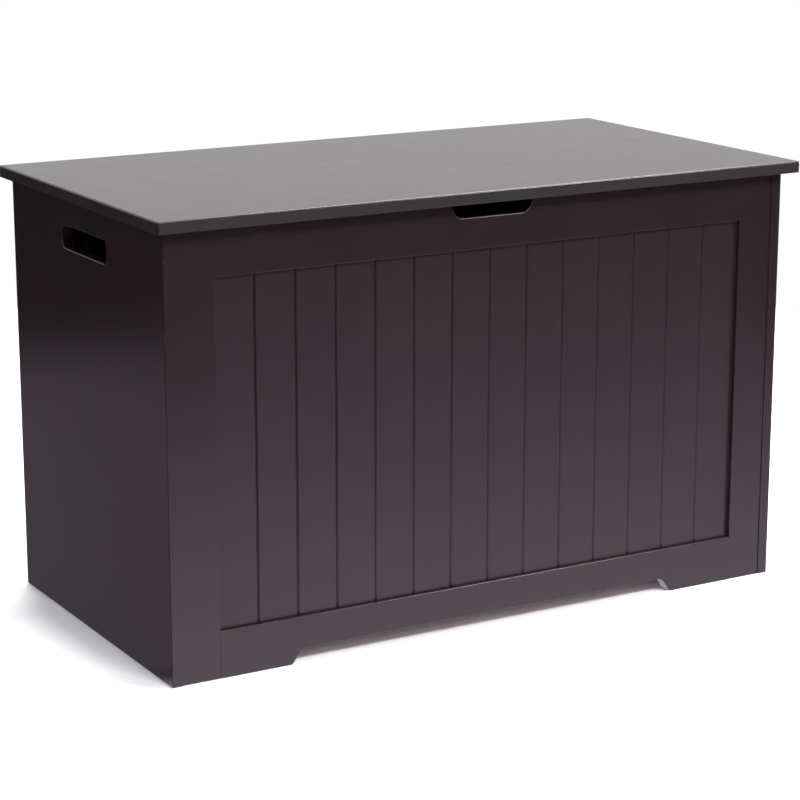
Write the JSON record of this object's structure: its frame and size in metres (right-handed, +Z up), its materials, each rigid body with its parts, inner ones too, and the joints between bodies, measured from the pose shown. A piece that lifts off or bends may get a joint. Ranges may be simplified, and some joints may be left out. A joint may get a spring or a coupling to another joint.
{
  "type": "toy box",
  "caption": "Rectangular wooden toy box with a flat hinged lid, recessed beadboard front, cut-out side handles and folding lid stays.",
  "frame": {"origin": "on the floor under the middle of the closed box's bounding box", "axes": "+X to the right seen from the front, +Y to the rear (the front faces -Y), +Z up"},
  "size_m": [0.762, 0.406, 0.47],
  "materials": {
    "espresso_board": "espresso satin lacquer on fibreboard",
    "beech": "bare beech, planed",
    "zinc_steel": "bright zinc plate",
    "black_steel": "thin black coat on pressed steel",
    "damper_plastic": "black moulded",
    "bumper_rubber": "soft grey"
  },
  "bodies": {
    "box": {"side_panel_left": "espresso_board", "side_panel_right": "espresso_board", "back_panel": "espresso_board", "bottom_panel": "espresso_board", "front_stile_left": "espresso_board", "front_stile_right": "espresso_board", "front_top_rail": "espresso_board", "front_bottom_rail": "espresso_board", "beadboard_panel": "espresso_board", "frame_dowels": "beech", "panel_dowels": "beech", "cam_bolts": "zinc_steel", "cam_locks": "zinc_steel", "batten_front": "beech", "batten_back": "beech", "batten_left": "beech", "batten_right": "beech", "batten_screws": "zinc_steel", "hinge_box_leaf_left": "zinc_steel", "hinge_box_leaf_right": "zinc_steel", "hinge_pin_left": "zinc_steel", "hinge_pin_right": "zinc_steel", "hinge_box_screws": "zinc_steel", "stay_base_left": "black_steel", "stay_base_right": "black_steel", "stay_cap_left": "damper_plastic", "stay_cap_right": "damper_plastic", "stay_base_screws": "zinc_steel", "rim_bumpers": "bumper_rubber"},
    "lid": {"lid_panel": "espresso_board", "hinge_lid_leaf_left": "zinc_steel", "hinge_lid_leaf_right": "zinc_steel", "hinge_lid_screws": "zinc_steel", "stay_bracket_left": "black_steel", "stay_bracket_right": "black_steel", "stay_lid_rivet_left": "zinc_steel", "stay_lid_rivet_right": "zinc_steel", "stay_lid_screws": "zinc_steel"},
    "stay_arm_left": {"stay_rotor_left": "damper_plastic", "stay_arm_left": "black_steel", "stay_elbow_rivet_left": "zinc_steel"},
    "stay_link_left": {"stay_link_left": "black_steel"},
    "stay_arm_right": {"stay_rotor_right": "damper_plastic", "stay_arm_right": "black_steel", "stay_elbow_rivet_right": "zinc_steel"},
    "stay_link_right": {"stay_link_right": "black_steel"}
  },
  "joints": [
    {"name": "lid_hinge", "type": "hinge", "parent": "box", "child": "lid", "pos_m": [0, 0.1999, 0.4546], "axis": [-1, 0, 0], "range_deg": [0, 85]},
    {"name": "stay_arm_turn_left", "type": "hinge", "parent": "box", "child": "stay_arm_left", "pos_m": [-0.3409, 0.1619, 0.3926], "axis": [-1, 0, 0], "range_deg": [0, 85]},
    {"name": "stay_link_turn_left", "type": "hinge", "parent": "stay_arm_left", "child": "stay_link_left", "pos_m": [-0.3409, 0.0619, 0.3806], "axis": [-1, 0, 0], "range_deg": [-85, 0]},
    {"name": "stay_arm_turn_right", "type": "hinge", "parent": "box", "child": "stay_arm_right", "pos_m": [0.3409, 0.1619, 0.3926], "axis": [-1, 0, 0], "range_deg": [0, 85]},
    {"name": "stay_link_turn_right", "type": "hinge", "parent": "stay_arm_right", "child": "stay_link_right", "pos_m": [0.3409, 0.0619, 0.3806], "axis": [-1, 0, 0], "range_deg": [-85, 0]}
  ],
  "couplings": [
    {"joint": "stay_arm_turn_left", "follows": "lid_hinge", "ratio": 1},
    {"joint": "stay_link_turn_left", "follows": "lid_hinge", "ratio": -1},
    {"joint": "stay_arm_turn_right", "follows": "lid_hinge", "ratio": 1},
    {"joint": "stay_link_turn_right", "follows": "lid_hinge", "ratio": -1}
  ]
}
